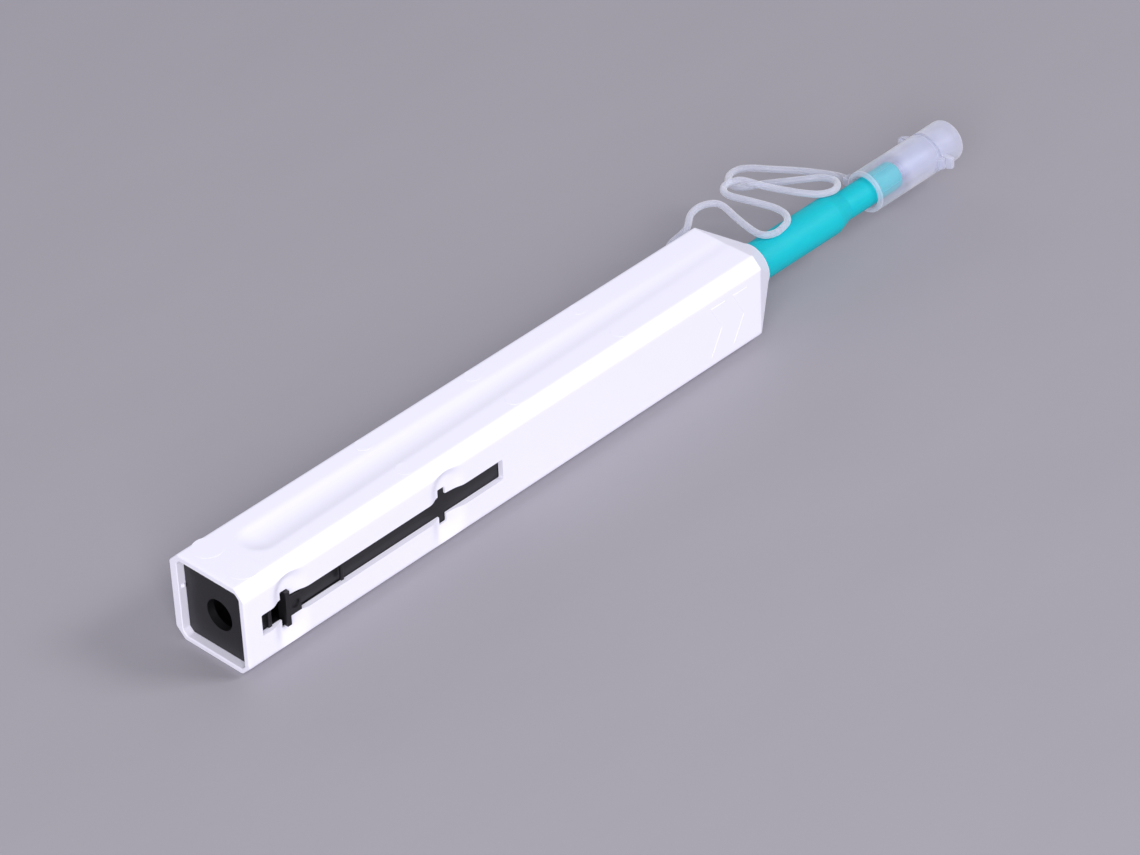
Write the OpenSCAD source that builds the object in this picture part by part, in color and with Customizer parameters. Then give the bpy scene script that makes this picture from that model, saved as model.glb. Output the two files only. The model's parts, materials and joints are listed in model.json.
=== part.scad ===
// Fibre optic cleaning pen: a square white casing, a black core that slides in it between two
// lengths, and a sprung nozzle that winds cleaning thread and turns the tip when it is pushed in.
// X runs from the open rear end to the tip, and Z is up. The origin lies under the middle of the
// casing's flat underside.

/* [Casing] */
// Width and height of the square casing
body_w = 19; // [18.8:0.1:20]
// Length of the straight part of the casing
body_l = 134.2; // [132:0.2:142]
// Chamfer along the four long edges
body_chamfer = 2.1; // [1.6:0.1:2.4]
// Wall at the top, the bottom and the slot side
wall = 1.2; // [1.1:0.05:1.3]
// Wall on the far side, where the tether is held
far_wall = 1.9; // [1.6:0.1:2]
// Length of the tapered nose
nose_l = 7.8; // [6:0.2:10]
// Radius of the nose at its front rim
nose_r = 4.8; // [4.7:0.1:6]

/* [Side slot] */
// Rear end of the slot, from the rear end of the casing
slot_x = 3.9; // [3.5:0.1:4.3]
// Length of the slot
slot_l = 60; // [56:0.2:64]
// Height of the slot
slot_h = 4.5; // [4.1:0.1:4.7]
// Height of the slot's centre line above the pen's axis
slot_rise = 0.1; // [0:0.1:0.6]
// Rear edge of the rear cross notch, from the rear end of the casing
notch_x = 9.1; // [9:0.1:9.6]
// Width of a cross notch along the casing
notch_w = 1.8; // [1.6:0.1:2]
// Height of a cross notch
notch_h = 7.8; // [7:0.1:8.4]
// Distance between the two notches, which is how far the core slides
reach = 39; // [36:0.5:40]
// Length of the thumb scoop round each notch
scoop_l = 9.6; // [8:0.2:11]
// Depth of the thumb scoop
scoop_depth = 0.85; // [0.5:0.05:0.95]
// Radius of the scoop's arched top
scoop_r = 4.8; // [4:0.1:5.4]

/* [Groove and arrows] */
// Depth of the groove along the top, at its rear end
groove_depth = 0.6; // [0.3:0.05:0.7]
// Depth of the groove at its front end
groove_front_depth = 0.1; // [0.05:0.05:0.5]
// Radius of the groove's round bottom
groove_r = 12; // [10:1:16]
// Rear end of the groove, from the rear end of the casing
groove_x = 9.4; // [8:0.2:16]
// Height by which the two arrows stand proud
arrow_rise = 0.2; // [0.2:0.1:0.5]
// Length of one arrow along the casing
arrow_l = 7; // [5:0.2:8]
// Distance between the two arrows
arrow_pitch = 6.2; // [6:0.2:7]
// Height of an arrow
arrow_h = 11; // [8:0.5:13]

/* [Core] */
// Depth of the core's rear wall inside the casing
core_recess = 1.6; // [1:0.1:2]
// Length of the core
core_l = 90.4; // [90:0.2:91]
// Length of the bush that guides the nozzle
bush_l = 8; // [6:0.5:9]
// Wall of the core
core_wall = 1.1; // [1:0.05:1.15]
// Gap between the core and the casing on each side
core_gap = 0.15; // [0.1:0.05:0.2]
// Radius of the round hole in the rear wall
hole_r = 3.2; // [2.5:0.1:3.6]

/* [Latch] */
// Length of the latch's spring arm
latch_l = 13.5; // [12:0.1:13.8]
// Length of the press pad
pad_l = 2.7; // [2:0.1:3]
// Thickness of the spring arm
arm_t = 0.9; // [0.7:0.05:1]

/* [Reels and drive] */
// Room for the bowed brake spring under the supply reel
brake_rise = 0.7; // [0.5:0.05:0.9]
// Depth of the clean thread below the supply reel's rim
supply_free = 0.6; // [0.4:0.05:0.7]
// Radius of the used thread on the take-up reel
takeup_wind_r = 3.4; // [3:0.1:4]
// Radius of the reels' steel axles
axle_r = 0.75; // [0.6:0.05:1]
// Diameter of the cleaning thread
thread_d = 0.3; // [0.2:0.05:0.3]
// Height of the rack's bar, above its teeth
rack_h = 1.3; // [1.1:0.05:1.4]
// Teeth of the drive gear
gear_teeth = 20; // [20:1:22]

/* [Nozzle] */
// Radius of the nozzle's thick part
nozzle_r = 3.95; // [3.8:0.05:4.1]
// Radius of the nozzle's thin part
neck_r = 2.95; // [2.8:0.05:3.1]
// How far the thick part stands out of the nose
nozzle_out = 22.2; // [20:0.2:26]
// Length of the cone between the thick and the thin part
cone_l = 3.8; // [3:0.2:5]
// Length of the thin part
neck_l = 15.2; // [14.7:0.1:15.7]
// Radius of the white guide tip
tip_r = 1.65; // [1.6:0.05:1.8]
// Radius of the turning shaft
shaft_r = 1.9; // [1.8:0.05:1.95]
// How far the nozzle is pushed in
stroke = 10; // [8:0.5:10.5]

/* [Cap and tether] */
// Outer radius of the cap
cap_r = 4.4; // [4.2:0.1:4.8]
// Length of the cap's tube
cap_l = 18.2; // [18:0.1:18.6]
// How much of the nozzle's thin part the cap covers
cap_grip = 8.2; // [8:0.1:8.4]
// Length of the flip lid
lid_l = 7; // [6.5:0.1:8]
// Reach of the hinge lug and the thumb tab from the cap's axis
lug_reach = 6.5; // [5.8:0.1:7]
// Diameter of the tether
tether_d = 1.4; // [1:0.1:1.4]

/* [Hidden] */
$fn = 64;

// Clearances and the overrun of cuts
slide_gap = 0.05;
seat_gap = 0.02;
shift_gap = 0.15;
free_gap = 0.3;
over = 1;

rest_x = body_l / 2;
half_w = body_w / 2;
axis_z = body_w / 2;

// Cavity of the casing
cav_y0 = -half_w + wall;
cav_y1 = half_w - far_wall;
cav_z0 = wall;
cav_z1 = body_w - wall;
cav_chamfer = body_chamfer - wall;
bore_r = nozzle_r + slide_gap;
rim_l = 1.2;
nose_slice = 0.02;
nose_bore_r = 6.8;

// Side slot and thumb scoops
slot_z = axis_z + slot_rise;
scoop_lead = 2.9;
scoop_x = notch_x - scoop_lead;
scoop_top = 3.7;
scoop_shares = [[0, 0], [0.2, 0.92], [0.4, 1], [0.7, 0.68], [1, 0]];

// Groove and arrows
groove_end = 2.5;
arrow_x = body_l - arrow_l - arrow_pitch - over;
arrow_stem_share = 0.57;

// Core
core_y0 = cav_y0 + core_gap;
core_y1 = cav_y1 - core_gap;
core_z0 = cav_z0 + core_gap;
core_z1 = cav_z1 - core_gap;
core_x0 = core_recess;
core_x1 = core_x0 + core_l;
cover_y1 = core_y0 + core_wall;
in_y1 = core_y1 - core_wall;
in_z0 = core_z0 + core_wall;
in_z1 = core_z1 - core_wall;
half_in = (in_z1 - in_z0) / 2;
rear_t = 1.6;
front_t = 1.8;
front_x = core_x1 - front_t;
hole_y = -1;
hole_drop = 0.5;
socket_depth = core_wall / 2;

// Latch
latch_gap = 0.2;
bar_t = 1;
bar_x1 = notch_x + notch_w - latch_gap / 2;
bar_x0 = bar_x1 - bar_t;
bar_z0 = axis_z - notch_h / 2 + shift_gap;
bar_z1 = axis_z + notch_h / 2 - shift_gap;
arm_y0 = core_y0 + latch_gap / 2;
arm_z0 = slot_z - slot_h / 2 + latch_gap;
arm_z1 = slot_z + slot_h / 2 - latch_gap;
bar_y0 = -half_w + latch_gap / 2;
pad_y0 = bar_y0 + shift_gap;
dimple_r = 0.9;
dimple_depth = 0.3;
pivot_x = bar_x1 + latch_l;
window_lead = 2.3;
rib_lead = 2;
rib_t = 0.8;
rib_h = 0.7;

// Reels and drive: radii that fill the core's height
gear_l = 1.65;
gear_y0 = cover_y1 + 2 * latch_gap;
gear_y1 = gear_y0 + gear_l;
reel_y0 = gear_y1 + free_gap;
reel_y1 = in_y1 - free_gap;
reel_flange = 0.8;
reel_hub = 2.2;
supply_r = half_in - brake_rise - slide_gap;
supply_wind_r = supply_r - supply_free;
tooth_up = 0.45;
tooth_down = 0.6;
gear_r = half_in - shift_gap - rack_h - tooth_down;
rim_step = 0.1;
takeup_r = gear_r - rim_step;
ratchet_teeth = 16;
ratchet_h = 0.5;
ratchet_step_share = 0.94;

// Stations along the core, from the latch forward and from the front wall back
latch_space = 2.2;
reel_space = 1.8;
post_space = 3.1;
supply_x = pivot_x + latch_space;
takeup_x = supply_x + supply_r + takeup_r + ratchet_h + reel_space;
bulkhead_x = takeup_x + takeup_r + ratchet_h + post_space;
bulkhead_t = 1.5;
boss_x = bulkhead_x + bulkhead_t;
boss_l = 10;
boss_r = 3.2;
boss_bore_r = shaft_r + free_gap;
bush_x = front_x - seat_gap - bush_l;
bush_plate = 2;
bush_r = nozzle_r + bush_plate;
flange_t = 2;
flange_x = bush_x - shift_gap - flange_t;
flange_lip = 1.25;
flange_r = nozzle_r + flange_lip;
foot_t = 2;
foot_x = flange_x - foot_t;

// Stations along the nozzle and the cap
thick_x1 = body_l + nose_l + nozzle_out;
neck_x0 = thick_x1 + cone_l;
neck_x1 = neck_x0 + neck_l;
tube_r = 3;
bearing_l = 6;
bearing_x = thick_x1 - bearing_l;
bearing_r = shaft_r + slide_gap;
seat_l = 4.3;
seat_r = 2.3;
cap_x0 = neck_x1 - cap_grip;
cap_x1 = cap_x0 + cap_l;
cap_wall = 1.2;
tip_x1 = cap_x1 - cap_wall - free_gap;
tip_bore_r = 1.3;
tip_mouth_l = 1.8;

// Brake and pawl
brake_t = 0.2;
brake_w = 1.2;
brake_l = 9;
pawl_t = 0.5;
pawl_stand = 0.9;
pawl_foot = 1.6;
pawl_lead = 0.2;

// Gear and rack
tooth_play = 0.16;
tooth_slope_share = 0.364;
tooth_w = PI * gear_r / gear_teeth;
rack_pitch = 2 * tooth_w;
rack_teeth = 13;
rack_teeth_behind = 3;
rack_x0 = takeup_x - rack_teeth_behind * rack_pitch;
rack_z0 = axis_z + gear_r + tooth_down;
rack_z1 = rack_z0 + rack_h;

// Cleaning thread
thread_r = thread_d / 2;
thread_side = 1.05;
thread_sides = 6;
feed_z = axis_z + supply_wind_r + thread_r + seat_gap;
post_r = 0.6;
post_lead = 1.7;
post_y = -2;
post_x = bulkhead_x - post_lead;
post_z = feed_z - thread_r - seat_gap - post_r;
bend_r = post_r + thread_r + seat_gap;
edge_r = boss_bore_r - thread_r - seat_gap;

// Tip shaft, its cam and its head
cam_pin_r = 0.4;
cam_back = 1;
cam_x = boss_x + boss_l - cam_back;
cam_r = 0.62;
cam_depth = 0.7;
cam_play = 0.1;
cam_over = 0.5;
cam_steps = 24;
cam_turn = 180;
shaft_back = 2;
shaft_x0 = cam_x - shaft_back;
shaft_x1 = neck_x1 - seat_l - cam_over;
collar_t = 1;
collar_r = tube_r - latch_gap;
channel_w = 0.5;
channel_r = thread_side - thread_r - slide_gap;
stem_r = 0.55;
stem_l = 3;
head_l = 2.6;
head_r = 1;
head_out = 0.4;
head_x1 = tip_x1 + head_out;
head_x0 = head_x1 - head_l;

// Springs
main_wire = 0.6;
main_coil_r = 3.9;
main_turns = 9;
main_steps = 12;
tip_wire = 0.16;
tip_coil_r = 0.72;
tip_turns = 9;
tip_steps = 8;
wire_sides = 6;

// Cap
cap_bore_r = neck_r + slide_gap;
cap_edge = 0.3;
mouth_r = 3.45;
mouth_l = 3;
mouth_taper = 0.6;
port_r = 1.3;
ring_l = 0.6;
ring_depth = 0.25;
lid_gap = 0.1;
lid_x0 = cap_x1 + lid_gap;
lid_x1 = lid_x0 + lid_l;
lid_wall = 1.2;
lid_r = cap_r;
lid_round = 0.9;
lug_t = 1.4;
lug_h = 2.4;
tab_reach = cap_r + over;

// Tether. Its route holds [along X from the plug, Y, height above the pen's axis] in millimetres
plug_back = 3.2;
plug_rise = 3;
plug_head_r = 1.6;
plug_head_t = 0.8;
plug_stem_r = 1;
plug_x = body_l - plug_back;
plug_z = axis_z + plug_rise;
hold_x = cap_x0 + cap_edge + over;
hold_y = 5.95;
hold_w = 2;
hold_h = 1.8;
hold_gap = 0.15;
tether_sides = 8;
tether_steps = 2;
tether_cuts = [0, 14, 32, 49];
tether_route = [[0, 10.35, 3], [0, 11.2, 3], [0.7, 12.2, 3.2], [2.4, 12.9, 3.8], [6.1, 12.4, 5.3],
  [9.6, 14.4, 6], [12.9, 15, 6], [15.6, 14.1, 5.8], [16.4, 12.2, 5.6], [15.5, 8.2, 5.3],
  [14.8, 4.5, 5], [14.6, 1.8, 4.8], [15, 0.2, 4.8], [16.3, -0.7, 4.8], [18, -0.9, 4.8],
  [21.2, -0.1, 4.8], [23, 2, 4.8], [23.3, 4.9, 4.8], [22.6, 8, 4.8], [21.7, 11.2, 4.8],
  [20.8, 14.5, 4.8], [21.5, 16.7, 4.8], [23.6, 17.6, 4.8], [26.1, 16.6, 4.8], [27, 14.4, 4.8],
  [27.7, 11.4, 4.8], [29.6, 6.9, 4.7], [31.2, 3.9, 4.6], [33, 1.7, 4.5], [35.6, 0.8, 4.3],
  [38, 1.7, 3.9], [39.5, 3.6, 3.5], [39.4, 5.5, 3.3], [38.6, 7.4, 3], [36.6, 9.6, 2.7],
  [34, 12.2, 2.4], [31, 15.1, 2.1], [28.6, 16.8, 1.9], [27.4, 18.5, 1.7], [27.5, 20.4, 1.6],
  [28.7, 22, 1.5], [30.7, 23, 1.4], [33, 22.8, 1.3], [35, 21.3, 1.2], [37.2, 18.6, 1],
  [40.8, 13.9, 0.8], [43.2, 10.4, 0.5], [44.6, 8.1, 0.3], [45.2, 6.9, 0.1], [45.3, 6.1, 0]];

white = "whitesmoke";
black = [0.12, 0.12, 0.13];
teal = [0.09, 0.75, 0.8];
clear = [0.9, 0.92, 0.95];
steel = "silver";
thread_white = "ivory";

module in_frame() {
  translate([-rest_x, 0, 0]) children();
}

// A rod along X from x, with its axis at (y, z)
module rod_x(x, l, r, y = 0, z = axis_z) {
  translate([x, y, z]) rotate([0, 90, 0]) cylinder(h = l, r = r);
}

// A rod along Y from y0 to y1
module rod_y(x, y0, y1, z, r) {
  translate([x, y1, z]) rotate([90, 0, 0]) cylinder(h = y1 - y0, r = r);
}

// A block between two corners
module block(x0, x1, y0, y1, z0, z1) {
  translate([x0, y0, z0]) cube([x1 - x0, y1 - y0, z1 - z0]);
}

// Pushes an outline in Y and Z along X from x
module prism_x(x, l) {
  translate([x, 0, 0]) rotate([90, 0, 90]) linear_extrude(l) children();
}

// Pushes an outline in X and Z along Y, from y0 to y1
module prism_y(y0, y1) {
  translate([0, y1, 0]) rotate([90, 0, 0]) linear_extrude(y1 - y0) children();
}

// Turns an outline of [radius, x] points about the pen's axis
module turned(outline) {
  translate([0, 0, axis_z]) rotate([0, 90, 0]) rotate_extrude() polygon(outline);
}

// A straight round strand between two points
module strand(a, b, r) {
  d = b - a;
  translate(a) rotate([0, acos(d[2] / norm(d)), atan2(d[1], d[0])]) cylinder(h = norm(d), r = r, $fn = 16);
}

// A rectangle with cut corners
module cut_square(y0, y1, z0, z1, c) {
  polygon([[y0 + c, z0], [y1 - c, z0], [y1, z0 + c], [y1, z1 - c],
    [y1 - c, z1], [y0 + c, z1], [y0, z1 - c], [y0, z0 + c]]);
}

// A tube swept along points i0 to i1 of a path
function path_side(p, i) =
  let (d = p[min(i + 1, len(p) - 1)] - p[max(i - 1, 0)])
  d / norm(d);
function ring(c, d, r, sides) =
  let (u0 = cross([0, 0, 1], d), u = u0 / norm(u0), v = cross(d, u))
  [for (k = [0:sides - 1]) c + r * (cos(360 * k / sides) * u + sin(360 * k / sides) * v)];
function tube_faces(n, sides) = concat(
  [for (i = [0:n - 2], k = [0:sides - 1]) let (a = i * sides + k, b = i * sides + (k + 1) % sides)
    each [[a, b + sides, b], [a, a + sides, b + sides]]],
  [for (k = [1:sides - 2]) [0, k, k + 1]],
  [for (k = [1:sides - 2]) let (e = (n - 1) * sides) [e, e + k + 1, e + k]]);
module tube(p, r, sides, i0 = 0, i1 = undef) {
  last = is_undef(i1) ? len(p) - 1 : i1;
  polyhedron(
    points = [for (i = [i0:last]) each ring(p[i], path_side(p, i), r, sides)],
    faces = tube_faces(last - i0 + 1, sides));
}

// A coil spring along X from x to x + l
module coil(x, l, r, wire, turns, steps) {
  n = turns * steps;
  pitch = (l - 2 * wire) / n;
  tube([for (i = [0:n]) [x + wire + pitch * i, r * cos(360 * i / steps), axis_z + r * sin(360 * i / steps)]],
    wire / 2, wire_sides);
}

// Casing

module nose() {
  hull() {
    prism_x(body_l - nose_slice, nose_slice) cut_square(-half_w, half_w, 0, body_w, body_chamfer);
    rod_x(body_l + nose_l - nose_slice, nose_slice, nose_r, $fn = 32);
  }
}

module arrow(x) {
  stem = arrow_l * arrow_stem_share;
  tip = arrow_l - stem;
  z0 = axis_z - arrow_h / 2;
  z1 = axis_z + arrow_h / 2;
  prism_y(-half_w - arrow_rise, -half_w + seat_gap)
    polygon([[x, z0], [x + stem, z0], [x + arrow_l, axis_z], [x + stem, z1], [x, z1], [x + tip, axis_z]]);
}

// Thumb scoop under an arch: its floor falls in from the rear and eases out to the front
module scoop(x) {
  floor = [for (s = scoop_shares) [x + s[0] * scoop_l, -half_w + s[1] * scoop_depth]];
  intersection() {
    translate([0, 0, -over]) linear_extrude(body_w + 2 * over)
      polygon(concat([[x, -half_w - over]], floor, [[x + scoop_l, -half_w - over]]));
    prism_y(-half_w - over, -half_w + scoop_depth + over) union() {
      translate([x + scoop_l / 2, axis_z + scoop_top]) circle(r = scoop_r);
      translate([x + scoop_l / 2 - scoop_r, -over]) square([2 * scoop_r, axis_z + scoop_top + over]);
    }
  }
}

module groove() {
  half = sqrt(pow(groove_r, 2) - pow(groove_r - groove_depth, 2));
  run = body_l - groove_end - groove_x - half;
  rise = groove_depth - groove_front_depth;
  translate([groove_x + half, 0, body_w + groove_r - groove_depth]) {
    sphere(r = groove_r, $fn = 96);
    rotate([0, 90 - atan2(rise, run), 0]) cylinder(h = run, r = groove_r, $fn = 96);
  }
}

module side_slot() {
  block(slot_x, slot_x + slot_l, -half_w - over, cav_y0 + over, slot_z - slot_h / 2, slot_z + slot_h / 2);
  for (x = [notch_x, notch_x + reach])
    block(x, x + notch_w, -half_w - over, cav_y0 + over, axis_z - notch_h / 2, axis_z + notch_h / 2);
}

module nose_bore() {
  turned([[0, body_l - nose_slice], [nose_bore_r, body_l - nose_slice], [bore_r, body_l + nose_l - rim_l],
    [bore_r, body_l + nose_l + over], [0, body_l + nose_l + over]]);
}

module outer_casing() in_frame() color(white) {
  difference() {
    union() {
      prism_x(0, body_l) cut_square(-half_w, half_w, 0, body_w, body_chamfer);
      nose();
      for (i = [0, 1]) arrow(arrow_x + i * arrow_pitch);
    }
    prism_x(-over, body_l + over) cut_square(cav_y0, cav_y1, cav_z0, cav_z1, cav_chamfer);
    nose_bore();
    side_slot();
    for (x = [scoop_x, scoop_x + reach]) scoop(x);
    groove();
    rod_y(plug_x, cav_y1 - over, half_w + over, plug_z, plug_stem_r + seat_gap);
  }
}

// Core: a tray that is open towards the slot, and its cover

module core_outline() {
  prism_x(core_x0, core_l) cut_square(core_y0, core_y1, core_z0, core_z1, cav_chamfer);
}

module core_hollow() {
  block(core_x0 + rear_t, bulkhead_x, cover_y1 - over, in_y1, in_z0, in_z1);
  block(boss_x, front_x, cover_y1 - over, in_y1, in_z0, in_z1);
}

module core_frame() in_frame() color(black) {
  difference() {
    union() {
      difference() {
        intersection() {
          core_outline();
          block(core_x0, core_x1, cover_y1, core_y1, core_z0, core_z1);
        }
        core_hollow();
      }
      rod_x(bulkhead_x + bulkhead_t / 2, bulkhead_t / 2 + boss_l, boss_r);
    }
    rod_x(core_x0 - over, rear_t + 2 * over, hole_r, hole_y, axis_z - hole_drop);
    rod_x(bulkhead_x - over, bulkhead_t + boss_l + 2 * over, boss_bore_r);
    rod_x(front_x - over, front_t + 2 * over, nozzle_r + free_gap);
    block(bulkhead_x - over, boss_x + over, cover_y1 - over, gear_y1 + free_gap,
      rack_z0 - tooth_up - tooth_down - free_gap, in_z1);
    rod_y(cam_x, -boss_r - over, 0, axis_z, cam_pin_r + seat_gap);
    for (x = [supply_x, takeup_x]) rod_y(x, in_y1 - over, in_y1 + socket_depth, axis_z, axle_r + seat_gap);
    rod_y(post_x, in_y1 - over, in_y1 + socket_depth, post_z, post_r + seat_gap);
  }
}

module core_cover() in_frame() color(black) {
  difference() {
    intersection() {
      core_outline();
      block(core_x0, core_x1, core_y0, cover_y1, core_z0, core_z1);
    }
    block(notch_x - window_lead, pivot_x, core_y0 - over, cover_y1 + over, arm_z0 - latch_gap, arm_z1 + latch_gap);
    block(notch_x, bar_x1 + free_gap, core_y0 - over, cover_y1 + over, bar_z0 - latch_gap, bar_z1 + latch_gap);
    for (x = [supply_x, takeup_x]) rod_y(x, cover_y1 - socket_depth, cover_y1 + over, axis_z, axle_r + seat_gap);
  }
  block(slot_x + rib_lead, slot_x + rib_lead + rib_t, core_y0 - rib_h, core_y0 + seat_gap, arm_z0, arm_z1);
}

module lock_latch() in_frame() color(black) {
  block(bar_x0, pivot_x, arm_y0, arm_y0 + arm_t, arm_z0, arm_z1);
  block(bar_x0, bar_x1, bar_y0, arm_y0 + arm_t, bar_z0, bar_z1);
  difference() {
    block(bar_x1 - seat_gap, bar_x1 + pad_l, pad_y0, arm_y0 + seat_gap, arm_z0, arm_z1);
    rod_y(bar_x1 + pad_l / 2, pad_y0 - over, pad_y0 + dimple_depth, slot_z, dimple_r);
  }
}

module guide_bush() in_frame() color(white) {
  difference() {
    intersection() {
      block(bush_x, front_x, cover_y1 + seat_gap, in_y1 - seat_gap, in_z0 + seat_gap, in_z1 - seat_gap);
      union() {
        rod_x(bush_x, bush_l, bush_r);
        block(bush_x + bush_l - bush_plate, bush_x + bush_l, -half_w, half_w, 0, body_w);
      }
    }
    rod_x(bush_x - over, bush_l + 2 * over, bore_r);
  }
}

// Reels

module ratchet_wheel(r) {
  polygon([for (i = [0:ratchet_teeth - 1], k = [0, 1])
    let (a = 360 * (i + ratchet_step_share * k) / ratchet_teeth, q = r + ratchet_h * (1 - k))
    [q * cos(a), q * sin(a)]]);
}

module reel(x, r, ratchet) {
  difference() {
    union() {
      rod_y(x, reel_y0, reel_y1 - seat_gap, axis_z, reel_hub);
      rod_y(x, reel_y0, reel_y0 + reel_flange, axis_z, r);
      translate([x, reel_y1, axis_z]) rotate([90, 0, 0]) linear_extrude(reel_flange)
        if (ratchet) ratchet_wheel(r);
        else circle(r = r);
    }
    rod_y(x, reel_y0 - over, reel_y1 + over, axis_z, axle_r + slide_gap);
  }
}

module wind(x, r) {
  y0 = reel_y0 + reel_flange + seat_gap;
  y1 = reel_y1 - reel_flange - seat_gap;
  difference() {
    rod_y(x, y0, y1, axis_z, r);
    rod_y(x, y0 - over, y1 + over, axis_z, reel_hub + seat_gap);
  }
}

module supply_reel() in_frame() color(white) reel(supply_x, supply_r, false);
module supply_wind() in_frame() color(thread_white) wind(supply_x, supply_wind_r);
module takeup_reel() in_frame() color(white) reel(takeup_x, takeup_r, true);
module takeup_wind() in_frame() color(thread_white) wind(takeup_x, takeup_wind_r);

module reel_axles() in_frame() color(steel)
  for (x = [supply_x, takeup_x])
    rod_y(x, cover_y1 - socket_depth + seat_gap, in_y1 + socket_depth - seat_gap, axis_z, axle_r);

// Bowed leaf spring between the core's floor and the rim of the supply reel
module supply_brake() in_frame() color(steel) {
  rise = brake_rise - seat_gap;
  r = (pow(brake_l / 2, 2) + pow(rise, 2)) / (2 * rise);
  prism_y(reel_y0, reel_y0 + brake_w) intersection() {
    translate([supply_x, in_z0 + seat_gap + rise - r]) difference() {
      circle(r = r, $fn = 180);
      circle(r = r - brake_t, $fn = 180);
    }
    translate([supply_x - brake_l / 2, in_z0 + seat_gap]) square([brake_l, rise + over]);
  }
}

// Springy arm whose nose lies under a tooth of the take-up reel's ratchet
module ratchet_pawl() in_frame() color(white) {
  x = takeup_x + takeup_r + pawl_stand;
  z = in_z0 + seat_gap;
  prism_y(reel_y1 - reel_flange, reel_y1) union() {
    translate([x, z]) square([pawl_foot, pawl_t]);
    translate([x, z]) square([pawl_t, axis_z - shift_gap - z]);
    translate([takeup_x + takeup_r + pawl_lead, axis_z - shift_gap - pawl_t])
      square([pawl_stand - pawl_lead + pawl_t, pawl_t]);
  }
}

// Gear and rack

module gear_outline() {
  half = (tooth_w - tooth_play) / 2;
  deg = 180 / PI / gear_r;
  flank = [[-tooth_down, -half - tooth_down * tooth_slope_share], [tooth_up, -half + tooth_up * tooth_slope_share]];
  polygon([for (i = [0:gear_teeth - 1]) let (c = 90 + 360 * (i + 0.5) / gear_teeth)
    each [for (s = [0, 1], k = [0, 1]) let (f = flank[s == 0 ? k : 1 - k], a = c + (s == 0 ? 1 : -1) * f[1] * deg)
      (gear_r + f[0]) * [cos(a), sin(a)]]]);
}

module drive_gear() in_frame() color(white) {
  difference() {
    union() {
      translate([takeup_x, gear_y1, axis_z]) rotate([90, 0, 0]) linear_extrude(gear_y1 - gear_y0) gear_outline();
      rod_y(takeup_x, gear_y0, reel_y0, axis_z, reel_hub);
    }
    rod_y(takeup_x, gear_y0 - over, reel_y0 + over, axis_z, axle_r + slide_gap);
  }
}

module rack_tooth(x) {
  half = (tooth_w - tooth_play) / 2;
  top = half + (tooth_down + seat_gap) * tooth_slope_share;
  tip = half - tooth_up * tooth_slope_share;
  z = axis_z + gear_r;
  polygon([[x - top, z + tooth_down + seat_gap], [x - tip, z - tooth_up],
    [x + tip, z - tooth_up], [x + top, z + tooth_down + seat_gap]]);
}

module drive_rack() in_frame() color(white) {
  prism_y(gear_y0, gear_y1) union() {
    translate([rack_x0 - tooth_w, rack_z0]) square([foot_x + foot_t - rack_x0 + tooth_w, rack_z1 - rack_z0]);
    for (i = [0:rack_teeth - 1]) rack_tooth(rack_x0 + i * rack_pitch);
  }
  difference() {
    union() {
      block(foot_x, foot_x + foot_t, gear_y0, 0, axis_z, rack_z1);
      rod_x(foot_x, foot_t, flange_r);
    }
    rod_x(foot_x - over, foot_t + 2 * over, shaft_r + free_gap);
  }
}

// Thread between the reels and the tip

module thread_guide() in_frame() color(steel)
  rod_y(post_x, post_y, in_y1 + socket_depth - seat_gap, post_z, post_r);

module feed_thread() in_frame() color(thread_white)
  tube(concat([[supply_x, 0, feed_z]],
    [for (a = [90:-15:0]) [post_x + bend_r * cos(a), 0, post_z + bend_r * sin(a)]],
    [[bulkhead_x - shift_gap - thread_r, 0, axis_z + boss_bore_r],
      [bulkhead_x + thread_r, 0, axis_z + edge_r],
      [boss_x, 0, axis_z + edge_r],
      [shaft_x0 - seat_gap, 0, axis_z + thread_side]]),
    thread_r, thread_sides);

module return_thread() in_frame() color(thread_white) {
  r = takeup_wind_r + thread_r + seat_gap;
  d = [bulkhead_x - thread_d - takeup_x, -boss_bore_r];
  a = atan2(d[1], d[0]) + acos(r / norm(d));
  tube([[takeup_x + r * cos(a), 0, axis_z + r * sin(a)],
    [bulkhead_x - thread_d, 0, axis_z - boss_bore_r],
    [bulkhead_x + thread_r, 0, axis_z - edge_r],
    [boss_x, 0, axis_z - edge_r],
    [shaft_x0 - seat_gap, 0, axis_z - thread_side]],
    thread_r, thread_sides);
}

// Nozzle and the turning tip

module main_spring() in_frame() color(steel)
  coil(boss_x, foot_x - boss_x, main_coil_r, main_wire, main_turns, main_steps);

module helix_pin() in_frame() color(steel)
  rod_y(cam_x, -boss_r - seat_gap, -shaft_r + cam_depth - cam_play, axis_z, cam_pin_r);

module nozzle_sleeve() in_frame() color(teal)
  turned([[tube_r, flange_x], [flange_r, flange_x], [flange_r, flange_x + flange_t],
    [nozzle_r, flange_x + flange_t], [nozzle_r, thick_x1], [neck_r, neck_x0], [neck_r, neck_x1],
    [seat_r + seat_gap, neck_x1], [seat_r + seat_gap, neck_x1 - seat_l], [bearing_r, neck_x1 - seat_l],
    [bearing_r, bearing_x], [tube_r, bearing_x]]);

module guide_tip() in_frame() color(white) {
  x0 = neck_x1 - seat_l + seat_gap;
  turned([[tip_r, neck_x1], [seat_r, neck_x1], [seat_r, x0], [shaft_r, x0], [shaft_r, x0 + tip_mouth_l],
    [tip_bore_r, x0 + tip_mouth_l], [tip_bore_r, tip_x1], [tip_r, tip_x1]]);
}

// Straight channels for the thread on two sides of a round piece
module channels(x0, x1) {
  for (s = [-1, 1]) translate([x0 - over, -channel_w / 2, axis_z + s * (channel_r + over) - over])
    cube([x1 - x0 + 2 * over, channel_w, 2 * over]);
}

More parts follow.
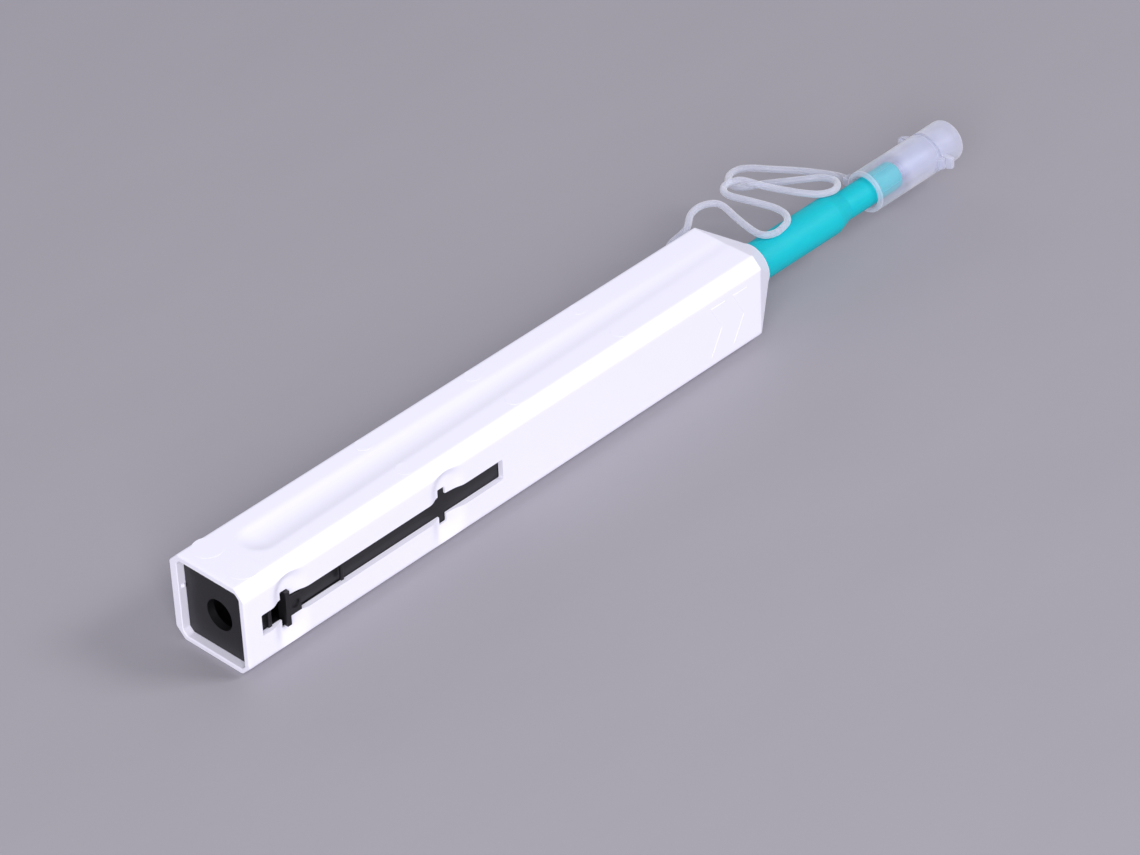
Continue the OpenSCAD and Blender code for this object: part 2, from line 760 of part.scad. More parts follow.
// Groove that turns the shaft as it slides past the pin
module cam_groove() {
  for (i = [0:cam_steps]) {
    d = -cam_over + (stroke + 2 * cam_over) * i / cam_steps;
    translate([cam_x + d, 0, axis_z]) rotate([-cam_turn * d / stroke, 0, 0])
      translate([0, -shaft_r + cam_depth, 0]) rotate([90, 0, 0]) cylinder(h = cam_depth + over, r = cam_r, $fn = 24);
  }
}

module tip_shaft() in_frame() color(white) {
  difference() {
    union() {
      rod_x(shaft_x0, shaft_x1 - shaft_x0, shaft_r);
      rod_x(flange_x + latch_gap, collar_t, collar_r);
      rod_x(bearing_x - latch_gap - collar_t, collar_t, collar_r);
    }
    channels(shaft_x0, shaft_x1);
    cam_groove();
    rod_x(shaft_x1 - stem_l, stem_l + over, stem_r + seat_gap);
  }
}

module cleaning_head() in_frame() color(white) {
  rod_x(shaft_x1 - stem_l + seat_gap, head_x0 - shaft_x1 + stem_l, stem_r);
  difference() {
    rod_x(head_x0, head_l, head_r);
    channels(head_x0, head_x1);
  }
}

module tip_spring() in_frame() color(steel)
  coil(shaft_x1, head_x0 - shaft_x1, tip_coil_r, tip_wire, tip_turns, tip_steps);

module tip_thread() in_frame() color(thread_white) {
  x1 = head_x1 + thread_r;
  for (s = [-1, 1]) strand([shaft_x0, 0, axis_z + s * thread_side], [x1, 0, axis_z + s * thread_side], thread_r);
  strand([x1, 0, axis_z - thread_side], [x1, 0, axis_z + thread_side], thread_r);
}

// Cap and its lid

module lug(x, y0, y1) {
  block(x, x + lug_t, y0, y1, axis_z - lug_h / 2, axis_z + lug_h / 2);
}

module cap_tube() in_frame() color(clear) {
  difference() {
    union() {
      turned([[0, cap_x0], [cap_r - cap_edge, cap_x0], [cap_r, cap_x0 + cap_edge],
        [cap_r, cap_x1 - ring_l], [cap_r - ring_depth, cap_x1 - ring_l],
        [cap_r - ring_depth, cap_x1], [0, cap_x1]]);
      lug(cap_x1 - lug_t, -tab_reach, lug_reach);
      block(hold_x - hold_w / 2, hold_x + hold_w / 2, 0, hold_y, axis_z - hold_h / 2, axis_z + hold_h / 2);
    }
    turned([[0, cap_x0 - over], [mouth_r, cap_x0 - over], [mouth_r, cap_x0 + mouth_l],
      [cap_bore_r, cap_x0 + mouth_l + mouth_taper], [cap_bore_r, cap_x1 - cap_wall],
      [port_r, cap_x1 - cap_wall], [port_r, cap_x1 + over], [0, cap_x1 + over]]);
  }
}

module cap_lid() in_frame() color(clear) {
  difference() {
    union() {
      turned(concat([[0, lid_x0], [lid_r, lid_x0]],
        [for (a = [0:15:90]) [lid_r - lid_round * (1 - cos(a)), lid_x1 - lid_round * (1 - sin(a))]],
        [[0, lid_x1]]));
      lug(lid_x0, -lug_reach, lug_reach);
    }
    rod_x(lid_x0 - over, lid_l - lid_wall + over, cap_bore_r);
  }
}

// Tether

module tether_plug() in_frame() color(clear) {
  rod_y(plug_x, half_w + seat_gap, half_w + seat_gap + plug_head_t, plug_z, plug_head_r);
  rod_y(plug_x, cav_y1, half_w + 2 * seat_gap, plug_z, plug_stem_r);
}

// The route's points in place, with the ends drawn to the plug and to the cap
function placed(q) =
  let (first = tether_route[0], last = tether_route[len(tether_route) - 1], s = q[0] / last[0])
  [plug_x + s * (hold_x - plug_x),
    q[1] + (1 - s) * (half_w + plug_head_t + slide_gap - first[1]) + s * (hold_y + hold_gap - last[1]),
    q[2] + axis_z];

// A smooth curve through the points, with some steps between each two
function curve(a, b, c, d, t) =
  b + (c - a) * t / 2 + (2 * a - 5 * b + 4 * c - d) * pow(t, 2) / 2 + (3 * b - a - 3 * c + d) * pow(t, 3) / 2;
function smoothed(p) =
  let (n = len(p), q = concat([2 * p[0] - p[1]], p, [2 * p[n - 1] - p[n - 2]]))
  concat([for (i = [0:n - 2], k = [0:tether_steps - 1])
    curve(q[i], q[i + 1], q[i + 2], q[i + 3], k / tether_steps)], [p[n - 1]]);
tether_path = smoothed([for (q = tether_route) placed(q)]);

module tether_piece(i) {
  tube(tether_path, tether_d / 2, tether_sides, tether_cuts[i] * tether_steps, tether_cuts[i + 1] * tether_steps);
}

module tether_root() in_frame() color(clear) tether_piece(0);
module tether_mid() in_frame() color(clear) tether_piece(1);
module tether_end() in_frame() color(clear) tether_piece(2);

outer_casing();
core_frame();
core_cover();
lock_latch();
guide_bush();
supply_reel();
supply_wind();
takeup_reel();
takeup_wind();
reel_axles();
supply_brake();
ratchet_pawl();
drive_gear();
drive_rack();
thread_guide();
feed_thread();
return_thread();
main_spring();
helix_pin();
nozzle_sleeve();
guide_tip();
tip_shaft();
tip_spring();
cleaning_head();
tip_thread();
cap_tube();
cap_lid();
tether_plug();
tether_root();
tether_mid();
tether_end();
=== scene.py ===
import json
import math

import bmesh
import bpy
from mathutils import Matrix, Vector


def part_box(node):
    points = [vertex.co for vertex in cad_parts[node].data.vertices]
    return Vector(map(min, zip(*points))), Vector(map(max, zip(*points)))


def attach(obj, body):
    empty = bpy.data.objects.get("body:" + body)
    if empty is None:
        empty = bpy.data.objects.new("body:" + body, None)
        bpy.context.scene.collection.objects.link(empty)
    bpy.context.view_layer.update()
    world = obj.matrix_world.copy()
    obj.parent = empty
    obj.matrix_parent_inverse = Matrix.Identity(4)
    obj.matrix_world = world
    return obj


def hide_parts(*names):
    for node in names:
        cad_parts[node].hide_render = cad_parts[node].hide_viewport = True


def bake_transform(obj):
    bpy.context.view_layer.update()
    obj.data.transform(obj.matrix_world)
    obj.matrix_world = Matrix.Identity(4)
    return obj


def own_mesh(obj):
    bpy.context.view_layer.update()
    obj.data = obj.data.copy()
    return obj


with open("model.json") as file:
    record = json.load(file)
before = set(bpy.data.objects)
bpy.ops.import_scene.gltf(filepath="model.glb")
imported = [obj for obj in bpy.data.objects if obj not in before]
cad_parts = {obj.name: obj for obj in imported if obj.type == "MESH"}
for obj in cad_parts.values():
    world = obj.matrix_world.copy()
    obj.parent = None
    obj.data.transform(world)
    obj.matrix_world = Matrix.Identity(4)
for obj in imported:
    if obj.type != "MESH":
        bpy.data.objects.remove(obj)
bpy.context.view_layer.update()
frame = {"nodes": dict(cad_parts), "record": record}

# Millimetres: X from the casing's rear end to the tip, Z up from its underside, the slot towards -Y
MM = 0.001
CASING_L = 134.2
CASING_W = 19.0
HALF_W = CASING_W / 2
REAR_X = -CASING_L / 2
AXIS_Z = CASING_W / 2


def mm(x, y, z):
    """A point given in millimetres from the rear end of the casing."""
    return Vector(((REAR_X + x) * MM, y * MM, z * MM))


def in_mm(co):
    """A point's place in millimetres from the rear end of the casing."""
    return co.x / MM - REAR_X, co.y / MM, co.z / MM


def measured(node):
    """A CAD piece's lowest and highest corner, in the same millimetres."""
    low, high = (Vector(corner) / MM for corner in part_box(node))
    shift = Vector((REAR_X, 0, 0))
    return low - shift, high - shift


# Camera, as it stood to the pen in the photograph

VIEW_AZIMUTH = -44.822
VIEW_ELEVATION = 36.246
VIEW_ROLL = -2.664
VIEW_DISTANCE = 874.163
VIEW_SHIFT = (-7.898, 2.843)
VIEW_POINT = (80.0, 0.0, 9.0)
VIEW_CLIP = (0.01, 20)
FOCAL_PIXELS = 4744.0
PHOTO_WIDTH = 1140
SENSOR_MM = 36.0


def make_camera():
    """The camera that took the photograph."""
    azimuth, elevation, roll = map(math.radians, (VIEW_AZIMUTH, VIEW_ELEVATION, VIEW_ROLL))
    back = Vector((math.sin(azimuth) * math.cos(elevation),
                   -math.cos(azimuth) * math.cos(elevation), math.sin(elevation)))
    level = Vector((0, 0, 1)).cross(back).normalized()
    upright = back.cross(level)
    right = math.cos(roll) * level + math.sin(roll) * upright
    up = math.cos(roll) * upright - math.sin(roll) * level
    place = mm(*VIEW_POINT) + (back * VIEW_DISTANCE - right * VIEW_SHIFT[0] - up * VIEW_SHIFT[1]) * MM
    data = bpy.data.cameras.new("camera")
    data.sensor_width = SENSOR_MM
    data.lens = SENSOR_MM * FOCAL_PIXELS / PHOTO_WIDTH
    data.clip_start, data.clip_end = VIEW_CLIP
    camera = bpy.data.objects.new("camera", data)
    bpy.context.scene.collection.objects.link(camera)
    turn = Matrix((right, up, back)).transposed()
    camera.matrix_world = Matrix.Translation(place) @ turn.to_4x4()
    bpy.context.scene.camera = camera


# Materials

MIX_A, MIX_B, MIX_RESULT = 6, 7, 2
RELIEF_STRENGTH = 0.6
GLOSS_SPREAD = 0.05
FLOW_MM = 22
FLOW_STRETCH = 0.35

CLOUD_MM = 4
HAZE_LEAD = 1
HAZE_RUN = 2
MOUTH_BAND = (0.3, 0.8)
SKIN_R = (3.6, 3.9)
SKIN_COVER = 0.85
RIM_POWER = 2

DIE_LINE_MM = 0.08
DIE_STRETCH = 0.08
PLY_MM = 0.9
PLY_SLANT = 0.6


def linear(code):
    """A colour written as sRGB hex, made linear."""
    parts = [int(code[i:i + 2], 16) / 255 for i in (0, 2, 4)]
    return [c / 12.92 if c <= 0.04045 else ((c + 0.055) / 1.055) ** 2.4 for c in parts] + [1]


def add(tree, kind, values=(), links=(), **settings):
    """Adds a node with its settings, its socket values and its incoming links."""
    node = tree.nodes.new(kind)
    for name, value in settings.items():
        setattr(node, name, value)
    for name, value in dict(values).items():
        node.inputs[name].default_value = value
    for name, socket in dict(links).items():
        tree.links.new(socket, node.inputs[name])
    return node


def new_material(name):
    """An empty material, with the piece's own coordinates to lay patterns on."""
    material = bpy.data.materials.new(name)
    material.use_nodes = True
    tree = material.node_tree
    tree.nodes.clear()
    return material, tree, add(tree, "ShaderNodeTexCoord").outputs["Object"]


def close_material(tree, colour, roughness, height, relief_mm, shader):
    """Joins colour, gloss and relief to the shader."""
    relief = add(tree, "ShaderNodeBump", {"Strength": RELIEF_STRENGTH, "Distance": relief_mm * MM},
                 {"Height": height})
    surface = add(tree, "ShaderNodeBsdfPrincipled", shader,
                  {"Base Color": colour, "Roughness": roughness, "Normal": relief.outputs["Normal"]})
    add(tree, "ShaderNodeOutputMaterial", (), {"Surface": surface.outputs["BSDF"]})


def moulded(name, colour, deep_colour, roughness, grain_mm=0.35, relief_mm=0.004, shader=()):
    """Moulded plastic: flow clouds drawn out along the pen, over the fine even grain of an eroded mould."""
    material, tree, place = new_material(name)
    drawn = add(tree, "ShaderNodeMapping", {"Scale": (FLOW_STRETCH, 1, 1)}, {"Vector": place})
    clouds = add(tree, "ShaderNodeTexNoise", {"Scale": 1 / (FLOW_MM * MM), "Detail": 3},
                 {"Vector": drawn.outputs["Vector"]})
    tone = add(tree, "ShaderNodeMix", {MIX_A: linear(deep_colour), MIX_B: linear(colour)},
               {"Factor": clouds.outputs["Fac"]}, data_type="RGBA")
    grain = add(tree, "ShaderNodeTexNoise", {"Scale": 1 / (grain_mm * MM), "Detail": 2, "Roughness": 0.6},
                {"Vector": place})
    gloss = add(tree, "ShaderNodeMapRange",
                {"To Min": roughness - GLOSS_SPREAD, "To Max": roughness + GLOSS_SPREAD},
                {"Value": grain.outputs["Fac"]})
    close_material(tree, tone.outputs[MIX_RESULT], gloss.outputs["Result"], grain.outputs["Fac"], relief_mm,
                   shader)
    return material


def along_pen(tree, place, start, end, low, high):
    """A value that turns smoothly from low at start to high at end, two places along the pen."""
    along = add(tree, "ShaderNodeSeparateXYZ", (), {"Vector": place})
    return add(tree, "ShaderNodeMapRange",
               {"From Min": mm(start, 0, 0).x, "From Max": mm(end, 0, 0).x, "To Min": low, "To Max": high},
               {"Value": along.outputs["X"]}, interpolation_type="SMOOTHSTEP").outputs["Result"]


def natural_polypropylene(name, haze, end_haze, clear_colour, painted_light_edge_colour):
    """Uncoloured polypropylene: a clear milky wall that shows what lies behind it. It is whiter where it is
    seen edge on, at the cap's mouth and towards the cap's thick closed end. Towards its edges the colour is
    also
    painted lighter: painted light, standing in for light that comes through the wall onto its shaded sides."""
    material, tree, place = new_material(name)
    clouds = add(tree, "ShaderNodeTexNoise", {"Scale": 1 / (CLOUD_MM * MM), "Detail": 1}, {"Vector": place})
    thick = along_pen(tree, place, NECK_END - HAZE_LEAD, NECK_END + HAZE_RUN, haze, end_haze)
    mouth = along_pen(tree, place, CAP_X[0] + MOUTH_BAND[0], CAP_X[0] + MOUTH_BAND[1], end_haze, 0)
    wall = add(tree, "ShaderNodeMath", (), {0: thick, 1: mouth})
    cloudy = add(tree, "ShaderNodeMapRange", {"To Min": 0.9, "To Max": 1.1}, {"Value": clouds.outputs["Fac"]})
    even = add(tree, "ShaderNodeMath", (), {0: wall.outputs["Value"], 1: cloudy.outputs["Result"]},
               operation="MULTIPLY")
    # Only the outer skin whitens at its rim, so that the walls of the bore draw no lines
    around = add(tree, "ShaderNodeMapping", {"Location": (0, 0, -AXIS_Z * MM), "Scale": (0, 1, 1)},
                 {"Vector": place})
    radius = add(tree, "ShaderNodeVectorMath", (), {0: around.outputs["Vector"]}, operation="LENGTH")
    skin = add(tree, "ShaderNodeMapRange",
               {"From Min": SKIN_R[0] * MM, "From Max": SKIN_R[1] * MM, "To Min": 0, "To Max": SKIN_COVER},
               {"Value": radius.outputs["Value"]})
    edge = add(tree, "ShaderNodeLayerWeight", {"Blend": 0.5})
    rim = add(tree, "ShaderNodeMath", {1: RIM_POWER}, {0: edge.outputs["Facing"]}, operation="POWER")
    # Painted light: the colour turns from the clear tone to a whiter one towards the edges, for light that
    # comes through the milky wall onto its shaded sides
    tone = add(tree, "ShaderNodeMix", {MIX_A: linear(clear_colour), MIX_B: linear(painted_light_edge_colour)},
               {"Factor": rim.outputs["Value"]}, data_type="RGBA")
    cover = add(tree, "ShaderNodeMath", (),
                {0: rim.outputs["Value"], 1: skin.outputs["Result"], 2: even.outputs["Value"]},
                operation="MULTIPLY_ADD")
    gloss = add(tree, "ShaderNodeMapRange", {"To Min": 0.4, "To Max": 0.46}, {"Value": clouds.outputs["Fac"]})
    relief = add(tree, "ShaderNodeBump", {"Strength": 0.4, "Distance": 0.004 * MM},
                 {"Height": clouds.outputs["Fac"]})
    surface = add(tree, "ShaderNodeBsdfPrincipled",
                  {"IOR": 1.5, "Subsurface Weight": 0.6, "Subsurface Radius": (1, 1, 1),
                   "Subsurface Scale": 3 * MM},
                  {"Base Color": tone.outputs[MIX_RESULT], "Alpha": cover.outputs["Value"],
                   "Roughness": gloss.outputs["Result"], "Normal": relief.outputs["Normal"]})
    add(tree, "ShaderNodeOutputMaterial", (), {"Surface": surface.outputs["BSDF"]})
    return material


def drawn_steel(name):
    """Bright spring wire: fine lines from the drawing die along the pen, with a grey gleam between them."""
    material, tree, place = new_material(name)
    drawn = add(tree, "ShaderNodeMapping", {"Scale": (DIE_STRETCH, 1, 1)}, {"Vector": place})
    lines = add(tree, "ShaderNodeTexNoise", {"Scale": 1 / (DIE_LINE_MM * MM), "Detail": 3},
                {"Vector": drawn.outputs["Vector"]})
    tone = add(tree, "ShaderNodeValToRGB", (), {"Fac": lines.outputs["Fac"]})
    tone.color_ramp.elements[0].color = linear("9A9CA0")
    tone.color_ramp.elements[1].color = linear("D4D5D8")
    gloss = add(tree, "ShaderNodeMapRange", {"To Min": 0.22, "To Max": 0.38}, {"Value": lines.outputs["Fac"]})
    close_material(tree, tone.outputs["Color"], gloss.outputs["Result"], lines.outputs["Fac"], 0.004,
                   {"Metallic": 1})
    return material


def twisted_thread(name):
    """Twisted microfibre yarn: slanted plies with shaded valleys, matt, with a soft bloom of fibre."""
    material, tree, place = new_material(name)
    slant = add(tree, "ShaderNodeMapping", {"Rotation": (0, PLY_SLANT, PLY_SLANT)}, {"Vector": place})
    plies = add(tree, "ShaderNodeTexWave", {"Scale": 1 / (PLY_MM * MM), "Distortion": 2, "Detail": 2},
                {"Vector": slant.outputs["Vector"]}, bands_direction="DIAGONAL")
    tone = add(tree, "ShaderNodeValToRGB", (), {"Fac": plies.outputs["Fac"]})
    tone.color_ramp.elements[0].color = linear("CFCBC0")
    tone.color_ramp.elements[1].color = linear("F4F2EA")
    gloss = add(tree, "ShaderNodeMapRange", {"To Min": 0.75, "To Max": 0.9}, {"Value": plies.outputs["Fac"]})
    close_material(tree, tone.outputs["Color"], gloss.outputs["Result"], plies.outputs["Fac"], 0.02,
                   {"Sheen Weight": 0.3, "Sheen Roughness": 0.4})
    return material


def dress(piece, material):
    """Gives a piece its one material."""
    piece.data.materials.clear()
    piece.data.materials.append(material)


# Making pieces

MERGE = 1e-7
CAD_MERGE = 1e-6
FLAT_ANGLE = math.radians(1)
SMOOTH_ANGLE = math.radians(32)
BEVEL_SEGMENTS = 2
ARC_STEPS = 5
STRAND_INSET = 0.02
# How deep a raised form starts inside what carries it, and how far a cut runs past what it cuts
SINK = 0.3
OVER = 1.0

record = frame["record"]
slots = {part["node"]: part["material_slot"] for part in record["subparts"]}
bodies = {node: body for body, nodes in record["behaviour"]["bodies"].items() for node in nodes}


def loose_object(name, b):
    """An object of a mesh, closed and facing outwards."""
    bmesh.ops.remove_doubles(b, verts=b.verts, dist=MERGE)
    bmesh.ops.recalc_face_normals(b, faces=b.faces)
    mesh = bpy.data.meshes.new(name)
    b.to_mesh(mesh)
    b.free()
    piece = bpy.data.objects.new(name, mesh)
    bpy.context.scene.collection.objects.link(piece)
    return piece


def make_piece(name, node, b, rides=True):
    """Makes a piece of a mesh in place of a CAD node, in the node's finish and on its body."""
    piece = loose_object(name, b)
    piece.data.shade_smooth()
    piece.data.set_sharp_from_angle(angle=SMOOTH_ANGLE)
    piece.modifiers.new("even_shading", "WEIGHTED_NORMAL").keep_sharp = True
    dress(piece, finishes[slots[node]])
    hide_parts(node)
    if rides:
        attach(piece, bodies[node])
    return piece


def together(meshes):
    """Several meshes as one, without joining where they touch."""
    b = bmesh.new()
    for other in meshes:
        mesh = bpy.data.meshes.new("part")
        other.to_mesh(mesh)
        other.free()
        b.from_mesh(mesh)
        bpy.data.meshes.remove(mesh)
    return b


def combined(base, joined=(), cut=()):
    """One mesh out of several: the base, with some joined to it and then some cut out of it."""
    piece = loose_object("base", base)
    used = [piece]
    for operation, meshes in (("UNION", joined), ("DIFFERENCE", cut)):
        if meshes:
            used.append(loose_object("tool", together(meshes)))
            step = piece.modifiers.new(operation, "BOOLEAN")
            step.operation = operation
            step.solver = "EXACT"
            step.object = used[-1]
    b = bmesh.new()
    b.from_object(piece, bpy.context.evaluated_depsgraph_get())
    for thing in used:
        bpy.data.objects.remove(thing)
    return b


def bevel_edges(b, edges, width):
    """Rounds edges by a width in millimetres."""
    bmesh.ops.bevel(b, geom=edges, offset=width * MM, offset_type="OFFSET", segments=BEVEL_SEGMENTS,
                    profile=0.5, affect="EDGES", clamp_overlap=True, material=-1)


def cad_mesh(node):
    """A copy of a CAD piece's mesh, merged, with its flat faces whole."""
    b = bmesh.new()
    b.from_mesh(frame["nodes"][node].data)
    bmesh.ops.remove_doubles(b, verts=b.verts, dist=CAD_MERGE)
    bmesh.ops.dissolve_limit(b, angle_limit=FLAT_ANGLE, verts=b.verts, edges=b.edges)
    return b


def eased(node, width, joined=()):
    """A copy of a CAD piece with its sharp edges eased, as the mould leaves them, and other meshes joined."""
    b = cad_mesh(node)
    sharp = [e for e in b.edges if len(e.link_faces) == 2 and e.calc_face_angle() > SMOOTH_ANGLE]
    bevel_edges(b, sharp, width)
    return make_piece(node + "_moulded", node, combined(b, joined) if joined else b)


def soft(node, rides=True):
    """A CAD piece's faceted strand, made round."""
    b = cad_mesh(node)
    ends = [f for f in b.faces if len(f.verts) > 4]
    bmesh.ops.inset_individual(b, faces=ends, thickness=STRAND_INSET * MM, use_even_offset=True)
    piece = make_piece(node + "_strand", node, b, rides)
    finer = piece.modifiers.new("round", "SUBSURF")
    finer.levels = finer.render_levels = 1
    return piece


def turned(outline, segments=96):
    """Turns an outline of (x, radius) points about the pen's axis. One that starts off the axis is closed."""
    b = bmesh.new()
    points = [b.verts.new(mm(x, 0, AXIS_Z + r)) for x, r in outline]
    pairs = list(zip(points, points[1:]))
    if outline[0][1] > 0:
        pairs.append((points[-1], points[0]))
    edges = [b.edges.new(pair) for pair in pairs]
    bmesh.ops.spin(b, geom=points + edges, cent=mm(0, 0, AXIS_Z), axis=(1, 0, 0), dvec=(0, 0, 0),
                   angle=2 * math.pi, steps=segments, use_merge=True, use_duplicate=False)
    return b


def rounded(outline):
    """The (x, radius) points of an outline, where a third value rounds the corner at its point."""
    done = []
    for i, (x, r, *rounding) in enumerate(outline):
        here = Vector((x, r))
        if not rounding:
            done.append((x, r))
            continue
        back = (Vector(outline[i - 1][:2]) - here).normalized()
        on = (Vector(outline[(i + 1) % len(outline)][:2]) - here).normalized()
        half = back.angle(on) / 2
        centre = here + (back + on).normalized() * (rounding[0] / math.sin(half))
        reach = rounding[0] / math.tan(half)
        start, end = here + back * reach - centre, here + on * reach - centre
        for k in range(ARC_STEPS + 1):
            done.append(tuple(centre + start.slerp(end, k / ARC_STEPS).normalized() * rounding[0]))
    return done


def block(low, high, rounding):
    """A block between two corners, with eased edges."""
    b = bmesh.new()
    low, high = Vector(low), Vector(high)
    size = Matrix.Diagonal((*((high - low) * MM), 1))
    bmesh.ops.create_cube(b, size=1, matrix=Matrix.Translation(mm(*((low + high) / 2))) @ size)
    bevel_edges(b, b.edges[:], rounding)
    return b


def plate(outline, low, high, across, rounding):
    """Pushes a flat outline from low to high: across Y an outline in X and Z, across Z one in X and Y."""
    b = bmesh.new()
    points = [(x, low, s) if across == "Y" else (x, s, low) for x, s in outline]
    face = b.faces.new([b.verts.new(mm(*p)) for p in points])
    pushed = bmesh.ops.extrude_face_region(b, geom=[face])["geom"]
    push = (high - low) * MM
    bmesh.ops.translate(b, vec=(0, push, 0) if across == "Y" else (0, 0, push),
                        verts=[g for g in pushed if isinstance(g, bmesh.types.BMVert)])
    bmesh.ops.recalc_face_normals(b, faces=b.faces)
    bevel_edges(b, b.edges[:], rounding)
    return b


def rod(start, end, radius, segments=32):
    """A round rod between two points."""
    b = bmesh.new()
    start, end = mm(*start), mm(*end)
    along = end - start
    turn = along.to_track_quat("Z", "Y").to_matrix().to_4x4()
    bmesh.ops.create_cone(b, cap_ends=True, segments=segments, radius1=radius * MM, radius2=radius * MM,
                          depth=along.length, matrix=Matrix.Translation((start + end) / 2) @ turn)
    return b


def helix(low, high, radius, wire, turns, sides, steps, reel_x=None):
    """A coil of round wire from low to high, about the pen's axis or about the axle of the reel at reel_x."""
    b = bmesh.new()
    if reel_x is None:
        along, across, place = Vector((1, 0, 0)), Vector((0, 1, 0)), (low, 0)
    else:
        along, across, place = Vector((0, 1, 0)), Vector((1, 0, 0)), (reel_x, low)
    turn = across.to_track_quat("Z", "Y").to_matrix().to_4x4()
    bmesh.ops.create_circle(b, cap_ends=True, segments=sides, radius=wire / 2 * MM,
                            matrix=Matrix.Translation(mm(*place, AXIS_Z + radius)) @ turn)
    bmesh.ops.spin(b, geom=b.verts[:] + b.edges[:] + b.faces[:], cent=mm(*place, AXIS_Z), axis=along,
                   angle=turns * 2 * math.pi, dvec=along * ((high - low) * MM / (turns * steps)),
                   steps=turns * steps, use_duplicate=False)
    return b


# Casing

CHAMFER = 2.1
WALL = 1.2
FAR_WALL = 1.9
HOLLOW = (-HALF_W + WALL, HALF_W - FAR_WALL, WALL, CASING_W - WALL)
HOLLOW_CHAMFER = CHAMFER - WALL
HOLLOW_EASE = 0.15
SOFT_EDGE = 0.32
SOFT_SEGMENTS = 4
RIM_ROUND = 0.35
FRONT_INSET = 0.03
# Steps of the rounded lips, each along the pen and inwards
REAR_LIP = ((0.25, 0.1), (0.1, 0.25))
NOSE_LIP = ((0.25, 0.08), (0.1, 0.25))
SKIN_STEP = 0.5
PLAIN_STEP = 4.0
NOSE_L = 7.8
NOSE_R = 4.8
NOSE_RIM = 1.2
BORE_R = 4.0
NOSE_HOLLOW_R = 6.8

# Digits that tell points apart, and the direction and spread in degrees of the grooved top's own facing
PLACES = 9
TOP_WAY = 90
TOP_SPREAD = 10

GROOVE_START = 13.2
GROOVE_DEPTHS = (0.6, 0.1)
GROOVE_R = 12.0
GROOVE_SOFT = 0.08

SLOT = (3.9, 63.9, 7.35, 11.85)
SLOT_ROUND = 0.25
NOTCHES = (9.1, 48.1)
NOTCH_W = 1.8
NOTCH_H = 7.8
NOTCH_ROUND = 0.2
SCOOP_LEAD = 2.9
SCOOP_L = 9.6
SCOOP_DEPTH = 0.85
SCOOP_R = 4.8
SCOOP_TOP = 3.7
SCOOP_SHARES = ((0, 0), (0.2, 0.92), (0.4, 1), (0.7, 0.68), (1, 0))
SCOOP_BLUR = (-0.08, 0, 0.08)
SCOOP_SOFT = 2.6
SCOOP_FOOT = (0.6, 5.6)

ARROW_L = 7.0
ARROW_H = 11.0
ARROW_STEM = 4.0
ARROW_RISE = 0.08
ARROW_ROUND = 0.03
ARROWS = (120.0, 126.2)

NIB = (1.15, HOLLOW[1], 11.4)
NIB_R = 0.45

# Faint round marks on the top, left by the mould: x, y, radius
MOULD_MARKS = ((5.06, 4.62, 3.0), (5.0, -4.36, 3.0),
               (44.0, -5.2, 1.9), (72.0, -5.2, 1.9), (100.0, -5.2, 1.9),
               (44.0, 5.6, 1.7), (72.0, 5.6, 1.7), (100.0, 5.6, 1.7))
MARK_RISE = 0.03
MARK_SEGMENTS = 64


def eased_step(t):
    """Turns an even rise from 0 to 1 into one with soft ends."""
    t = min(max(t, 0), 1)
    return t * t * (3 - 2 * t)


def groove_depth(x, y):
    """How deep the shallow round groove lies in the top: deepest behind, and running out to the front."""
    share = (x - GROOVE_START) / (CASING_L - GROOVE_START)
    depth = GROOVE_DEPTHS[0] + (GROOVE_DEPTHS[1] - GROOVE_DEPTHS[0]) * max(share, 0)
    away = y * y + min(x - GROOVE_START, 0) ** 2
    level = depth - away / (2 * GROOVE_R)
    return (level + math.hypot(level, GROOVE_SOFT)) / 2


def scoop_profile(share):
    """Depth along a scoop: steep at its rear, easing out to its front."""
    for (a, low), (c, high) in zip(SCOOP_SHARES, SCOOP_SHARES[1:]):
        if a <= share <= c:
            return low + (high - low) * (share - a) / (c - a)
    return 0


def scoop_depth(x, z):
    """How deep the two thumb scoops lie in the slotted side, under their arched tops."""
    depth = 0
    for notch in NOTCHES:
        share = (x - notch + SCOOP_LEAD) / SCOOP_L
        middle = notch - SCOOP_LEAD + SCOOP_L / 2
        away = math.hypot(x - middle, max(z - AXIS_Z - SCOOP_TOP, 0))
        if away < SCOOP_R and 0 < share < 1:
            profile = sum(scoop_profile(share + d) for d in SCOOP_BLUR) / len(SCOOP_BLUR)
            run_out = eased_step((z - SCOOP_FOOT[0]) / (SCOOP_FOOT[1] - SCOOP_FOOT[0]))
            depth += SCOOP_DEPTH * profile * run_out * eased_step((SCOOP_R - away) / SCOOP_SOFT)
    return depth


def ring(b, x, box, chamfer, soft_edge, step_at):
    """A ring of edges: a rectangle with cut and softened corners, in steps as long as each place asks for."""
    y0, y1, z0, z1 = box
    c = chamfer
    corners = ((y0 + c, z0), (y1 - c, z0), (y1, z0 + c), (y1, z1 - c),
               (y1 - c, z1), (y0 + c, z1), (y0, z1 - c), (y0, z0 + c))
    before = set(b.edges)
    face = b.faces.new([b.verts.new(mm(x, y, z)) for y, z in corners])
    bmesh.ops.bevel(b, geom=face.verts[:], offset=soft_edge * MM, offset_type="OFFSET",
                    segments=SOFT_SEGMENTS, profile=0.5, affect="VERTICES", clamp_overlap=True, material=-1)
    for edge in [e for e in b.edges if e not in before]:
        middle = (edge.verts[0].co + edge.verts[1].co) / 2
        cuts = int(edge.calc_length() / (step_at(middle.y / MM, middle.z / MM) * MM))
        if cuts:
            bmesh.ops.subdivide_edges(b, edges=[edge], cuts=cuts)
    edges = [e for e in b.edges if e not in before]
    bmesh.ops.delete(b, geom=list({f for e in edges for f in e.link_faces}), context="FACES_ONLY")
    return edges


